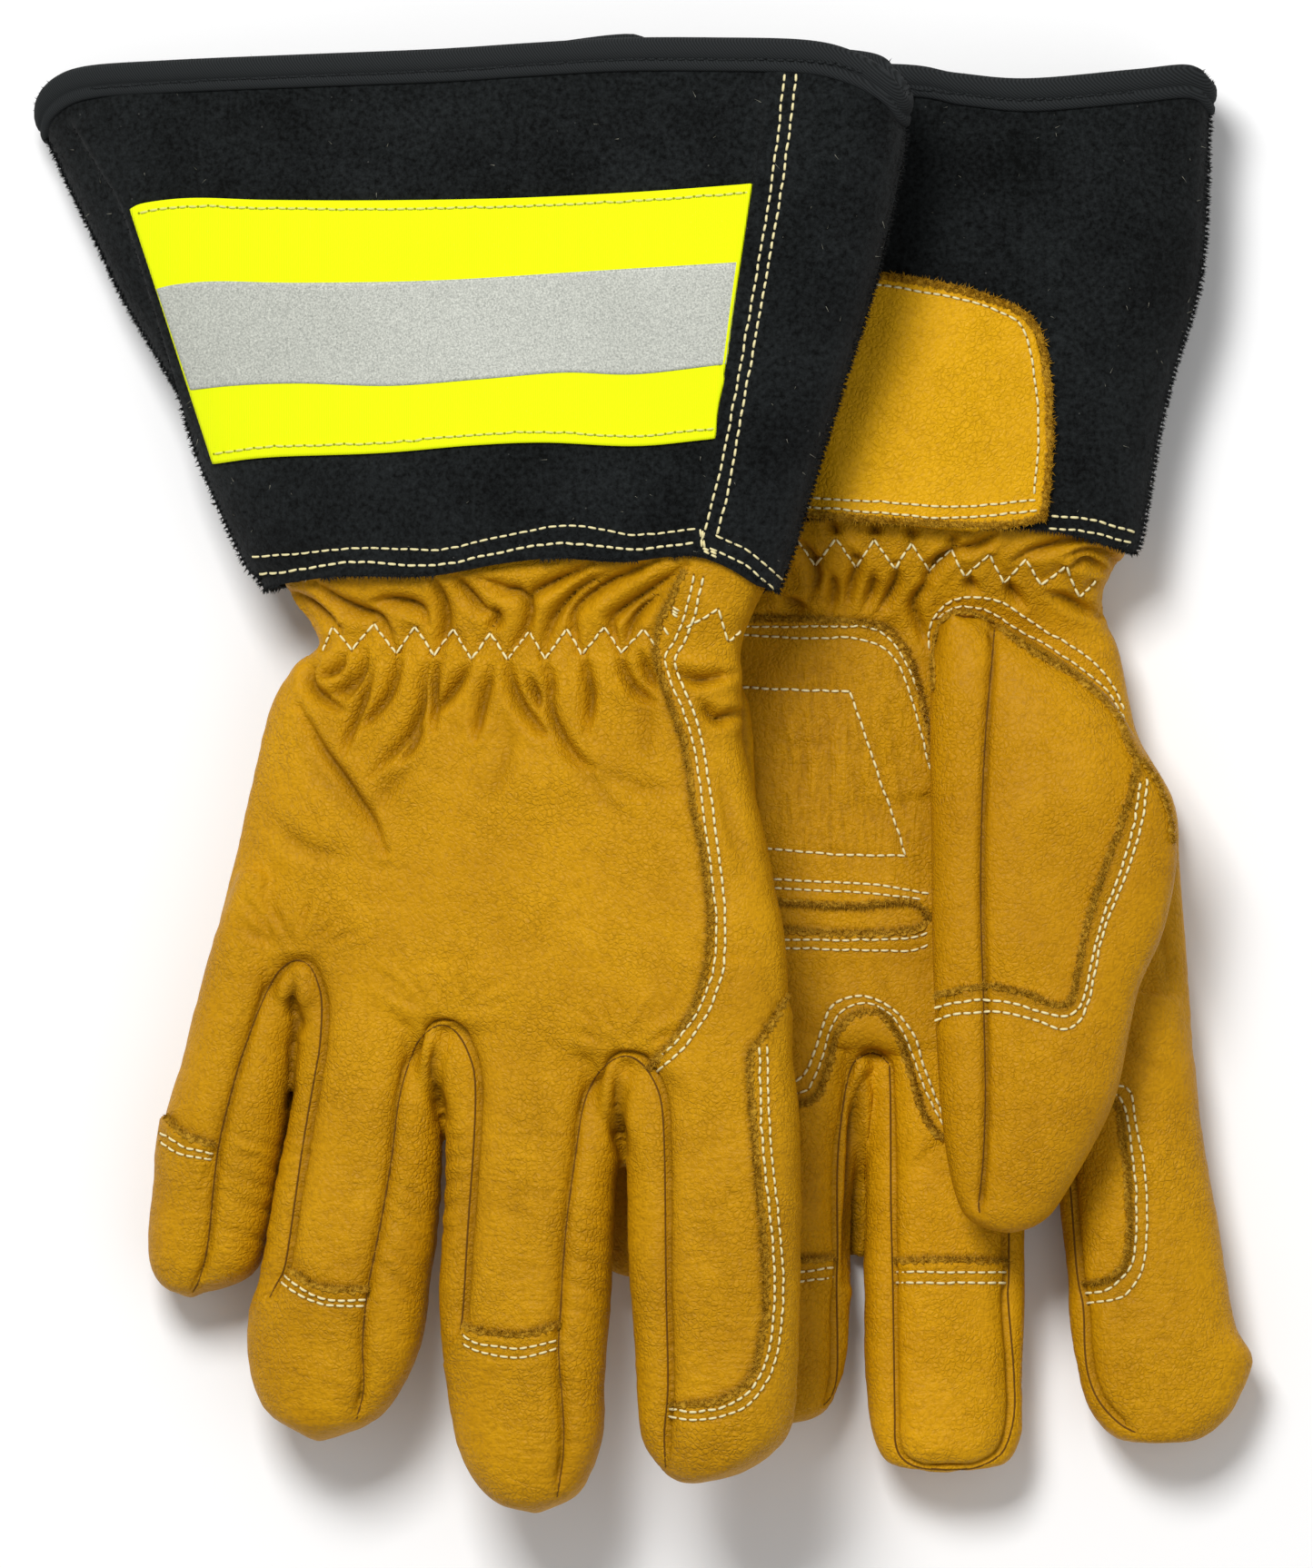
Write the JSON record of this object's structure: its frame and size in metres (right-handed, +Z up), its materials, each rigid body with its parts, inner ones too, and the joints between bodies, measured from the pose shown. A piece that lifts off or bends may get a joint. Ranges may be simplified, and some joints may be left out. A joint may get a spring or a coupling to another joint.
{
  "type": "pair of leather work gloves",
  "caption": "Pair of leather utility work gloves with flared suede gauntlet cuffs, bound rims and reflective tape, lying on a table with one glove partly over the other.",
  "frame": {"origin": "middle of the pair's box, on the table", "axes": "+Z up from the table, +Y from the fingertips to the cuffs, +X from the upper, right-hand glove to the lower, left-hand one"},
  "size_m": [0.2416, 0.2943, 0.064],
  "materials": {
    "leather": "smooth grain leather, soft sheen",
    "suede": "split suede, matt",
    "binding": "twill binding",
    "hivis_tape": "fluorescent woven tape",
    "reflective": "glass-bead reflective film",
    "lining": "knitted fleece",
    "elastic": "woven elastic"
  },
  "bodies": {
    "left_hand": {"left_back_panel": "leather", "left_palm_panel": "leather", "left_palm_patch": "leather", "left_lining": "lining", "left_wrist_elastic": "elastic", "left_cuff_back": "suede", "left_cuff_palm": "suede", "left_cuff_binding": "binding", "left_hivis_tape": "hivis_tape", "left_reflective_strip": "reflective", "left_pulse_patch": "leather", "left_little_back": "leather", "left_little_palm": "leather", "left_little_sides": "leather", "left_little_tip": "leather", "left_ring_back": "leather", "left_ring_palm": "leather", "left_ring_sides": "leather", "left_ring_tip": "leather", "left_middle_back": "leather", "left_middle_palm": "leather", "left_middle_sides": "leather", "left_middle_tip": "leather", "left_index_back": "leather", "left_index_palm": "leather", "left_index_sides": "leather", "left_index_tip": "leather"},
    "left_thumb": {"left_thumb_front": "leather", "left_thumb_back": "leather"},
    "right_hand": {"right_back_panel": "leather", "right_palm_panel": "leather", "right_palm_patch": "leather", "right_lining": "lining", "right_wrist_elastic": "elastic", "right_cuff_back": "suede", "right_cuff_palm": "suede", "right_cuff_binding": "binding", "right_hivis_tape": "hivis_tape", "right_reflective_strip": "reflective", "right_pulse_patch": "leather", "right_thumb_front": "leather", "right_thumb_back": "leather"},
    "right_little": {"right_little_back": "leather", "right_little_palm": "leather", "right_little_sides": "leather", "right_little_tip": "leather"},
    "right_ring": {"right_ring_back": "leather", "right_ring_palm": "leather", "right_ring_sides": "leather", "right_ring_tip": "leather"},
    "right_middle": {"right_middle_back": "leather", "right_middle_palm": "leather", "right_middle_sides": "leather", "right_middle_tip": "leather"},
    "right_index": {"right_index_back": "leather", "right_index_palm": "leather", "right_index_sides": "leather", "right_index_tip": "leather"}
  },
  "joints": [
    {"name": "right_glove_lift", "type": "slide", "parent": "left_hand", "child": "right_hand", "axis": [0, 0, 1], "range_m": [0, 0.12]},
    {"name": "right_little_bend", "type": "hinge", "parent": "right_hand", "child": "right_little", "pos_m": [-0.07988, -0.06, 0.02932], "axis": [-0.9507, 0.1478, -0.2726], "range_deg": [0, 35]},
    {"name": "right_ring_bend", "type": "hinge", "parent": "right_hand", "child": "right_ring", "pos_m": [-0.05076, -0.06, 0.03768], "axis": [-0.953, 0.1305, -0.2733], "range_deg": [0, 35]},
    {"name": "right_middle_bend", "type": "hinge", "parent": "right_hand", "child": "right_middle", "pos_m": [-0.01923, -0.06, 0.04672], "axis": [-0.9609, 0.0262, -0.2755], "range_deg": [0, 35]},
    {"name": "right_index_bend", "type": "hinge", "parent": "right_hand", "child": "right_index", "pos_m": [0.01278, -0.06, 0.0559], "axis": [-0.9611, -0.0175, -0.2756], "range_deg": [0, 35]},
    {"name": "left_thumb_bend", "type": "hinge", "parent": "left_hand", "child": "left_thumb", "pos_m": [0.0794, 0.029, 0.0222], "axis": [-0.9986, 0.0523, 0], "range_deg": [0, 50]}
  ]
}
